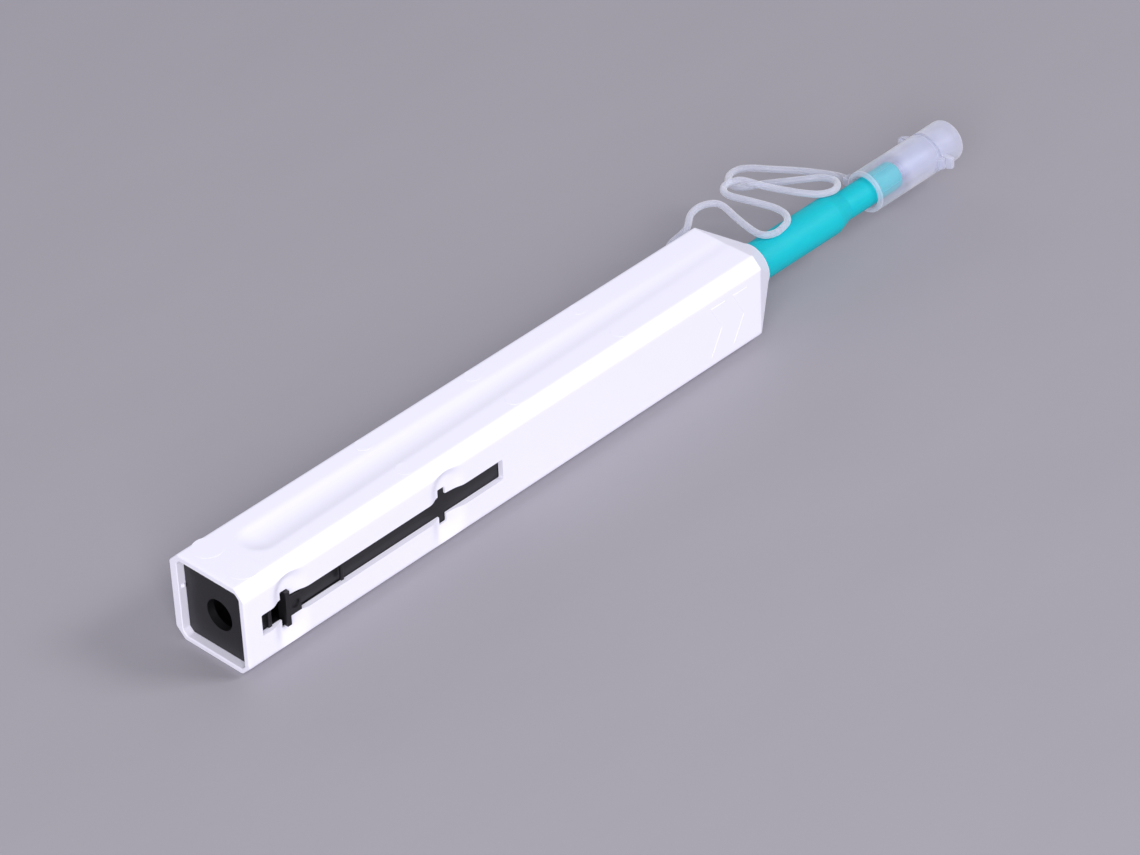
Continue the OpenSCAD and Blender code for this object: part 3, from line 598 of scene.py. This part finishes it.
def draw_on(b, edges, dx, inset=0.0):
    """Extrudes a ring along the pen, and draws it in on every side."""
    new = bmesh.ops.extrude_edge_only(b, edges=edges)["geom"]
    verts = [g for g in new if isinstance(g, bmesh.types.BMVert)]
    middle = sum((v.co for v in verts), Vector()) / len(verts)
    half = max(abs(v.co.z - middle.z) for v in verts)
    size = 1 - inset * MM / half
    bmesh.ops.scale(b, vec=(1, size, size), space=Matrix.Translation(-middle), verts=verts)
    bmesh.ops.translate(b, vec=(dx * MM, 0, 0), verts=verts)
    fresh = set(verts)
    return [g for g in new if isinstance(g, bmesh.types.BMEdge) and set(g.verts) <= fresh]


def draw_to_circle(b, edges, x, radius):
    """Extrudes a ring to a circle: each point goes where the circle faces its own way, and those of the
    grooved top straight up."""
    b.normal_update()
    new = bmesh.ops.extrude_edge_only(b, edges=edges)["geom"]
    facing = {}
    for edge in edges:
        for v in edge.verts:
            way = Vector((v.normal.y, v.normal.z))
            if way.dot(Vector((v.co.y, v.co.z - AXIS_Z * MM))) < 0:
                way = -way
            degrees = round(math.degrees(math.atan2(way.y, way.x)))
            turn = math.radians(TOP_WAY if abs(degrees - TOP_WAY) < TOP_SPREAD else degrees)
            facing[v.co.to_tuple(PLACES)] = Vector((0, math.cos(turn), math.sin(turn)))
    verts = [g for g in new if isinstance(g, bmesh.types.BMVert)]
    for v in verts:
        v.co = mm(x, 0, AXIS_Z) + facing[v.co.to_tuple(PLACES)] * radius * MM
    bmesh.ops.remove_doubles(b, verts=verts, dist=MERGE)
    plane = mm(x, 0, 0).x
    return [e for e in b.edges if e.is_boundary and all(abs(v.co.x - plane) < MERGE for v in e.verts)]


def skin_step(y, z):
    """Short steps on the grooved top and the scooped side, long ones elsewhere."""
    return SKIN_STEP if z > CASING_W - CHAMFER or y < -HALF_W + CHAMFER / 2 else PLAIN_STEP


def casing_skin():
    """The casing's closed outer form, with its groove, scoops and nose."""
    b = bmesh.new()
    rear = ring(b, RIM_ROUND, (-HALF_W, HALF_W, 0, CASING_W), CHAMFER, SOFT_EDGE, skin_step)
    run = CASING_L - 2 * RIM_ROUND
    steps = round(run / SKIN_STEP)
    last = bmesh.ops.spin(b, geom=b.verts[:] + rear, cent=(0, 0, 0), axis=(1, 0, 0), angle=0,
                          dvec=Vector((run, 0, 0)) * MM / steps, steps=steps,
                          use_duplicate=False)["geom_last"]
    for v in b.verts:
        x, y, z = in_mm(v.co)
        v.co.z = min(z, CASING_W - groove_depth(x, y)) * MM
        v.co.y = max(y, scoop_depth(x, z) - HALF_W) * MM
    front = draw_on(b, [g for g in last if isinstance(g, bmesh.types.BMEdge)], RIM_ROUND, FRONT_INSET)
    tip = draw_to_circle(b, front, CASING_L + NOSE_L - RIM_ROUND, NOSE_R)
    for dx, inset in NOSE_LIP:
        tip = draw_on(b, tip, dx, inset)
    for dx, inset in REAR_LIP:
        rear = draw_on(b, rear, -dx, inset)
    bmesh.ops.holes_fill(b, edges=rear + tip, sides=0)
    return b


def casing_hollow():
    """What is cut out of the casing: its hollow with the nose's bore, the slot, and the tether plug's hole.
    A small nib stays on the far wall, inside the rear rim."""
    b = bmesh.new()
    inside = ring(b, HOLLOW_EASE, HOLLOW, HOLLOW_CHAMFER, SOFT_EDGE, lambda y, z: PLAIN_STEP)
    mouth = draw_on(b, inside, -2 * HOLLOW_EASE, -2 * HOLLOW_EASE)
    deep = draw_to_circle(b, draw_on(b, inside, CASING_L - HOLLOW_EASE), CASING_L, NOSE_HOLLOW_R)
    deep = draw_to_circle(b, deep, CASING_L + NOSE_L - NOSE_RIM, BORE_R)
    for dx, inset in ((NOSE_RIM - HOLLOW_EASE, 0), (2 * HOLLOW_EASE, -2 * HOLLOW_EASE)):
        deep = draw_on(b, deep, dx, inset)
    bmesh.ops.holes_fill(b, edges=mouth + deep, sides=0)
    x0, x1, z0, z1 = SLOT
    out, within = -HALF_W - OVER, HOLLOW[0] + OVER
    notches = [block((x, out, AXIS_Z - NOTCH_H / 2), (x + NOTCH_W, within, AXIS_Z + NOTCH_H / 2), NOTCH_ROUND)
               for x in NOTCHES]
    slot = combined(block((x0, out, z0), (x1, within, z1), SLOT_ROUND), notches)
    hole = rod((PLUG[0], HOLLOW[1] - OVER, PLUG[2]), (PLUG[0], HALF_W + OVER, PLUG[2]), PLUG_HOLE_R)
    nib = bmesh.new()
    bmesh.ops.create_uvsphere(nib, u_segments=16, v_segments=10, radius=NIB_R * MM,
                              matrix=Matrix.Translation(mm(*NIB)))
    return combined(b, [slot, hole], [nib])


def arrow(x):
    """A raised arrowhead on the slotted side."""
    low, high = AXIS_Z - ARROW_H / 2, AXIS_Z + ARROW_H / 2
    notch = ARROW_L - ARROW_STEM
    outline = ((x, low), (x + ARROW_STEM, low), (x + ARROW_L, AXIS_Z), (x + ARROW_STEM, high), (x, high),
               (x + notch, AXIS_Z))
    return plate(outline, -HALF_W + SINK, -HALF_W - ARROW_RISE, "Y", ARROW_ROUND)


def make_casing():
    """The casing, with its arrows and mould marks joined on and its hollow cut out."""
    raised = [arrow(x) for x in ARROWS]
    for x, y, r in MOULD_MARKS:
        raised.append(rod((x, y, CASING_W - SINK), (x, y, CASING_W + MARK_RISE), r, MARK_SEGMENTS))
    make_piece("casing_shell", "outer_casing", combined(casing_skin(), raised, [casing_hollow()]))


# Nozzle

NOZZLE_REAR = 80.03
FLANGE_FRONT = 82.03
FLANGE_R = 5.2
TUBE_R = 3.95
TUBE_BORE_R = 3.0
SHOULDER = (164.2, 168.0)
SHOULDER_ROUND = 1.4
CREASE_R = 2.9
NECK_START = 169.2
NECK_END = 183.2
NECK_R = 2.95
NECK_BORE_X = 158.2
NECK_BORE_R = 1.95
SEAT = NECK_END - 4.3
SEAT_R = 2.32

TIP_END = 191.7
TIP_R = 1.65
TIP_BORE_R = 1.3
TIP_FOOT = SEAT + 0.02
TIP_FOOT_R = 2.3
TIP_FOOT_BORE_R = 1.9
TIP_FOOT_BORE_X = SEAT + 1.82
TIP_SEGMENTS = 64


def make_nozzle():
    """The stepped teal tube and the guide tip in its end."""
    sleeve = ((NOZZLE_REAR, TUBE_BORE_R, 0.1), (NOZZLE_REAR, FLANGE_R, 0.3), (FLANGE_FRONT, FLANGE_R, 0.3),
              (FLANGE_FRONT, TUBE_R, 0.3), (SHOULDER[0], TUBE_R, SHOULDER_ROUND),
              (SHOULDER[1], CREASE_R, 0.3), (NECK_START, NECK_R, 0.3), (NECK_END, NECK_R, 0.25),
              (NECK_END, SEAT_R), (SEAT, SEAT_R), (SEAT, NECK_BORE_R), (NECK_BORE_X, NECK_BORE_R),
              (NECK_BORE_X, TUBE_BORE_R))
    make_piece("nozzle_moulded", "nozzle_sleeve", turned(rounded(sleeve)))
    tip = ((NECK_END, TIP_R, 0.1), (NECK_END, TIP_FOOT_R, 0.1), (TIP_FOOT, TIP_FOOT_R),
           (TIP_FOOT, TIP_FOOT_BORE_R), (TIP_FOOT_BORE_X, TIP_FOOT_BORE_R), (TIP_FOOT_BORE_X, TIP_BORE_R),
           (TIP_END, TIP_BORE_R, 0.12), (TIP_END, TIP_R, 0.2))
    make_piece("guide_tip_moulded", "guide_tip", turned(rounded(tip), TIP_SEGMENTS))


# Cap and lid

CAP_X = (175.0, 193.2)
CAP_R = 4.4
CAP_END = 1.2
BORE_MOUTH = (1, 3.6)
BORE_MOUTH_R = 3.45
CAP_BORE_R = 3.0
BORE_ROUND = 1.5
PORT_R = 1.3
RING_L = 0.6
RING_R = 4.15
LID_X = (193.3, 200.3)
DISH_R = (3.1, 2.8)
DISH_DEPTH = 0.15

LUG_T = 1.4
LUG_Z = (AXIS_Z - 1.2, AXIS_Z + 1.2)
LUG_ROUND = 0.15
LUG_ROOT = 3
LUG_LIP = 0.5
LUG_SLOPE = 0.9
HINGE_Y = 6.5
CATCH_Y = (-4.9, -5.4)
CATCH_LIP = 0.4
TAB_Y = -5.8

# The block on the cap's mouth that the tether runs into
HOLD_X = (0.3, 2.3)
HOLD_Y = (3.2, 5.95)
HOLD_HALF_H = 0.9
HOLD_ROUND = 0.3


def make_cap():
    """The cap with its bore and port, its hinge lug and catch, and the block that holds the tether."""
    x0, x1 = CAP_X
    body = ((x0, 0), (x0, CAP_R, 0.4), (x1 - RING_L, CAP_R, 0.2), (x1 - RING_L, RING_R, 0.12),
            (x1, RING_R, 0.1), (x1, 0))
    bore = ((x0 - OVER, 0), (x0 - OVER, BORE_MOUTH_R), (x0 + BORE_MOUTH[0], BORE_MOUTH_R, BORE_ROUND),
            (x0 + BORE_MOUTH[1], CAP_BORE_R, BORE_ROUND), (x1 - CAP_END, CAP_BORE_R, 0.4),
            (x1 - CAP_END, PORT_R, 0.1), (x1 + OVER, PORT_R), (x1 + OVER, 0))
    hinge = ((x1 - LUG_T, LUG_ROOT), (x1, LUG_ROOT), (x1, HINGE_Y), (x1 - LUG_LIP, HINGE_Y),
             (x1 - LUG_T, HINGE_Y - LUG_SLOPE))
    catch = ((x1 - LUG_T, -LUG_ROOT), (x1 - LUG_T, CATCH_Y[0]), (x1 - CATCH_LIP, CATCH_Y[1]),
             (x1, CATCH_Y[1]), (x1, -LUG_ROOT))
    hold = block((x0 + HOLD_X[0], HOLD_Y[0], AXIS_Z - HOLD_HALF_H),
                 (x0 + HOLD_X[1], HOLD_Y[1], AXIS_Z + HOLD_HALF_H), HOLD_ROUND)
    lugs = [plate(outline, *LUG_Z, "Z", LUG_ROUND) for outline in (hinge, catch)]
    b = combined(turned(rounded(body)), lugs + [hold], [turned(rounded(bore))])
    make_piece("cap_moulded", "cap_tube", b)


def make_lid():
    """The flip lid with its recess and dished end, its hinge lug and its thumb tab."""
    x0, x1 = LID_X
    body = ((x0, 0), (x0, CAP_R, 0.25), (x1, CAP_R, 0.9), (x1, DISH_R[0], 0.3),
            (x1 - DISH_DEPTH, DISH_R[1], 0.3), (x1 - DISH_DEPTH, 0))
    recess = ((x0 - OVER, 0), (x0 - OVER, CAP_BORE_R), (x1 - CAP_END, CAP_BORE_R, 0.4), (x1 - CAP_END, 0))
    hinge = ((x0, LUG_ROOT), (x0 + LUG_T, LUG_ROOT), (x0 + LUG_T, HINGE_Y - LUG_SLOPE),
             (x0 + LUG_LIP, HINGE_Y), (x0, HINGE_Y))
    tab = ((x0, -LUG_ROOT), (x0, TAB_Y), (x0 + LUG_LIP, -HINGE_Y), (x0 + LUG_T, -HINGE_Y),
           (x0 + LUG_T, -LUG_ROOT))
    lugs = [plate(outline, *LUG_Z, "Z", LUG_ROUND) for outline in (hinge, tab)]
    b = combined(turned(rounded(body)), lugs, [turned(rounded(recess))])
    make_piece("lid_moulded", "cap_lid", b)


# Springs and latch

SPRING_TURNS = 9
MAIN_WIRE = 0.6
MAIN_R = 3.9
TIP_WIRE = 0.16
TIP_SPRING_R = 0.72

RIB_RISE = 0.25
RIB_X = (1, 0.3)
RIB_INSET = 0.45
RIB_ROUND = 0.08
LATCH_ROUND = 0.12


def wound_spring(node, radius, wire, sides, steps):
    """A spring of round wire, between the ends of the CAD piece that it replaces."""
    low, high = measured(node)
    coil = helix(low.x + wire / 2, high.x - wire / 2, radius, wire, SPRING_TURNS, sides, steps)
    return make_piece(node + "_wound", node, coil)


def make_springs():
    """The nozzle's return spring, which is pressed together with it, and the cleaning head's own."""
    main = wound_spring("main_spring", MAIN_R, MAIN_WIRE, 10, 40)
    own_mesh(main)
    wound_spring("tip_spring", TIP_SPRING_R, TIP_WIRE, 8, 24)


def make_latch():
    """The latch, with the raised rib at the root of its arm."""
    root = measured("lock_latch")[1].x
    face = measured("core_cover")[0].y
    rib = block((root - RIB_X[0], face - RIB_RISE, SLOT[2] + RIB_INSET),
                (root - RIB_X[1], face + SINK, SLOT[3] - RIB_INSET), RIB_ROUND)
    eased("lock_latch", LATCH_ROUND, [rib])


# Thread and its reels

THREAD_D = 0.3
REELS = {"supply_wind": 26.5, "takeup_wind": 40.0}
REEL_HUB_R = 2.22
REEL_SEGMENTS = 48
CORE_SHARE = 0.7


def make_threads():
    """The thread's free stretches, made round; those to the reels are fixed in place, on no body."""
    for node in ("feed_thread", "return_thread"):
        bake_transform(soft(node, rides=False))
    soft("tip_thread")


def make_wind(node, x):
    """Thread wound close on a reel: the outer layer of turns over a plain core."""
    low, high = measured(node)
    radius = high.z - AXIS_Z
    first, last = low.y + THREAD_D / 2, high.y - THREAD_D / 2
    turns = int((last - first) / THREAD_D)
    layer = helix(first, last, radius - THREAD_D / 2, THREAD_D, turns, 8, 36, x)
    core = rod((x, low.y, AXIS_Z), (x, high.y, AXIS_Z), radius - THREAD_D * CORE_SHARE, REEL_SEGMENTS)
    bore = rod((x, low.y - OVER, AXIS_Z), (x, high.y + OVER, AXIS_Z), REEL_HUB_R, REEL_SEGMENTS)
    make_piece(node + "_wound", node, together([layer, combined(core, cut=[bore])]))


# Tether: its route starts at the plug in the casing's far wall and ends in the cap

TETHER_D = 1.4
PLUG = (131.0, 0.0, 12.5)
PLUG_HOLE_R = 1.02
TETHER_CUTS = (0, 14, 32, 49)
TETHER_ROUTE = (
    (0, 10.35, 3), (0, 11.2, 3), (0.7, 12.2, 3.2), (2.4, 12.9, 3.8), (6.1, 12.4, 5.3),
    (9.6, 14.4, 6), (12.9, 15, 6), (15.6, 14.1, 5.8), (16.4, 12.2, 5.6), (15.5, 8.2, 5.3),
    (14.8, 4.5, 5), (14.6, 1.8, 4.8), (15, 0.2, 4.8), (16.3, -0.7, 4.8), (18, -0.9, 4.8),
    (21.2, -0.1, 4.8), (23, 2, 4.8), (23.3, 4.9, 4.8), (22.6, 8, 4.8), (21.7, 11.2, 4.8),
    (20.8, 14.5, 4.8), (21.5, 16.7, 4.8), (23.6, 17.6, 4.8), (26.1, 16.6, 4.8), (27, 14.4, 4.8),
    (27.7, 11.4, 4.8), (29.6, 6.9, 4.7), (31.2, 3.9, 4.6), (33, 1.7, 4.5), (35.6, 0.8, 4.3),
    (38, 1.7, 3.9), (39.5, 3.6, 3.5), (39.4, 5.5, 3.3), (38.6, 7.4, 3), (36.6, 9.6, 2.7),
    (34, 12.2, 2.4), (31, 15.1, 2.1), (28.6, 16.8, 1.9), (27.4, 18.5, 1.7), (27.5, 20.4, 1.6),
    (28.7, 22, 1.5), (30.7, 23, 1.4), (33, 22.8, 1.3), (35, 21.3, 1.2), (37.2, 18.6, 1),
    (40.8, 13.9, 0.8), (43.2, 10.4, 0.5), (44.6, 8.1, 0.3), (45.2, 6.9, 0.1), (45.3, 6.1, 0))
TETHER_STEPS = 6
STRAND_RESOLUTION = 4
# Each stretch of the tether, the two bodies that it joins, and where it leaves the first and meets the second
TETHER_BENDS = (("tether_root", "casing", "core", (133, 0, AXIS_Z), (145.5, 0, AXIS_Z)),
                ("tether_mid", "core", "nozzle", (149, 0, AXIS_Z), (170, 0, AXIS_Z)),
                ("tether_end", "nozzle", "cap", (170.4, 0, 12.8), (174.9, 0, 8.3)))


def curve_point(a, b, c, d, t):
    """A point between b and c, at the share t, on a smooth curve through four points."""
    return (b + (c - a) * t / 2 + (2 * a - 5 * b + 4 * c - d) * t ** 2 / 2
            + (3 * b - a - 3 * c + d) * t ** 3 / 2)


def tether_path():
    """The route's points in place, with a smooth curve through them."""
    p = [mm(PLUG[0] + x, y, AXIS_Z + z) for x, y, z in TETHER_ROUTE]
    q = [2 * p[0] - p[1]] + p + [2 * p[-1] - p[-2]]
    shares = [k / TETHER_STEPS for k in range(TETHER_STEPS)]
    return [curve_point(*q[i:i + 4], share) for i in range(len(p) - 1) for share in shares] + [p[-1]]


def strand_mesh(points, diameter):
    """A round strand along points, closed at both ends."""
    line = bpy.data.curves.new("line", "CURVE")
    line.dimensions = "3D"
    line.bevel_depth = diameter / 2 * MM
    line.bevel_resolution = STRAND_RESOLUTION
    line.use_fill_caps = True
    spline = line.splines.new("POLY")
    spline.points.add(len(points) - 1)
    for point, at in zip(spline.points, points):
        point.co = (*at, 1)
    rope = bpy.data.objects.new("line", line)
    bpy.context.scene.collection.objects.link(rope)
    mesh = bpy.data.meshes.new_from_object(rope.evaluated_get(bpy.context.evaluated_depsgraph_get()))
    bpy.data.objects.remove(rope)
    b = bmesh.new()
    b.from_mesh(mesh)
    bpy.data.meshes.remove(mesh)
    return b


def make_tether():
    """The tether's three stretches, each a round strand along its share of one smooth route."""
    path = tether_path()
    for (node, first, second, start, end), i, j in zip(TETHER_BENDS, TETHER_CUTS, TETHER_CUTS[1:]):
        points = path[i * TETHER_STEPS:j * TETHER_STEPS + 1]
        piece = make_piece(node + "_strand", node, strand_mesh(points, TETHER_D), rides=False)
        dress(piece, tether_pp)
        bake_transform(piece)


# Putting the pen together

make_camera()

# Casing: bright white with a touch of blue, satin
white_abs = moulded("moulded_white_abs", "F1F0FD", "EDECFA", 0.52, relief_mm=0.003,
                    shader={"Specular IOR Level": 0.35})
# Core and latch: near black, with a little more gloss
black_abs = moulded("moulded_black_abs", "19181B", "121114", 0.4, relief_mm=0.006)
# Nozzle: saturated teal, satin, with light soaking a little way in
teal_pp = moulded("moulded_teal_polypropylene", "02BECB", "00B6C3", 0.58, relief_mm=0.003,
                  shader={"Subsurface Weight": 0.3, "Subsurface Scale": 3 * MM, "Specular IOR Level": 0.3})
# Cap and lid, and the tether, whose haze is the same all along
natural_pp = natural_polypropylene("moulded_natural_polypropylene", 0.09, 0.34, "D4D8F4", "FAFBFF")
tether_pp = natural_polypropylene("drawn_natural_polypropylene", 0.2, 0.2, "DCDFF6", "FAFBFF")
# Gears, reels, bush and shaft: ivory white and smooth
natural_pom = moulded("moulded_natural_acetal", "EAE9E3", "E0DFD8", 0.34)
# Guide tip: a pale blue white polymer, glossier, coloured a darker lavender grey as painted shade for the
# shade it lies in inside the cap
tip_white = moulded("bluish_white_polymer_painted_shade_grey", "C6CBE4", "BCC2DE", 0.3)
finishes = {"casing_white": white_abs, "core_black": black_abs, "inner_white": natural_pom,
            "nozzle_teal": teal_pp, "tip_white": tip_white, "cap_clear": natural_pp,
            "steel": drawn_steel("drawn_spring_steel"),
            "thread": twisted_thread("twisted_microfibre_thread")}
for part in record["subparts"]:
    dress(frame["nodes"][part["node"]], finishes[part["material_slot"]])

# How far the edges of the other pieces are eased
EDGES = {"core_frame": 0.2, "core_cover": 0.15, "guide_bush": 0.2, "supply_reel": 0.15, "takeup_reel": 0.1,
         "reel_axles": 0.15, "supply_brake": 0.03, "ratchet_pawl": 0.08, "drive_gear": 0.06,
         "drive_rack": 0.06, "thread_guide": 0.1, "helix_pin": 0.08, "tip_shaft": 0.05,
         "cleaning_head": 0.1, "tether_plug": 0.25}

make_tether()
make_casing()
make_nozzle()
make_cap()
make_lid()
make_springs()
for node, x in REELS.items():
    make_wind(node, x)
for node, width in EDGES.items():
    eased(node, width)
make_latch()
make_threads()

# Floor and light

FLOOR_SIZE = 4.0
WORLD_STRENGTH = 0.48


def make_stage():
    """A plain pale floor."""
    b = bmesh.new()
    bmesh.ops.create_grid(b, x_segments=1, y_segments=1, size=FLOOR_SIZE / 2)
    mesh = bpy.data.meshes.new("floor")
    b.to_mesh(mesh)
    b.free()
    floor = bpy.data.objects.new("floor", mesh)
    bpy.context.scene.collection.objects.link(floor)
    dress(floor, moulded("pale_floor", "A29FA7", "9E9BA3", 0.7, grain_mm=2.0, relief_mm=0.02))


def make_light(name, place, size, watts, colour):
    """A soft rectangular light, in metres, turned to the middle of the pen."""
    data = bpy.data.lights.new(name, "AREA")
    data.shape = "RECTANGLE"
    data.size, data.size_y = size
    data.energy = watts
    data.color = linear(colour)[:3]
    lamp = bpy.data.objects.new(name, data)
    bpy.context.scene.collection.objects.link(lamp)
    aim = -Vector(place)
    lamp.matrix_world = Matrix.Translation(place) @ aim.to_track_quat("-Z", "Y").to_matrix().to_4x4()


def make_world():
    """Even light from all sides."""
    world = bpy.data.worlds.new("studio")
    bpy.context.scene.world = world
    world.use_nodes = True
    sockets = world.node_tree.nodes["Background"].inputs
    sockets["Color"].default_value = linear("F2F2FA")
    sockets["Strength"].default_value = WORLD_STRENGTH


make_stage()
make_light("key_softbox", place=(0.78, -0.85, 0.98), size=(0.5, 0.5), watts=8.9, colour="FFFDFF")
make_light("camera_softbox", place=(-0.95, -0.85, 0.65), size=(1.0, 0.8), watts=16.4, colour="FFFDFF")
make_light("back_softbox", place=(0.2, 1.3, 0.7), size=(1.0, 0.4), watts=2, colour="F0F4FF")
make_world()
bpy.context.scene.view_settings.view_transform = "Standard"
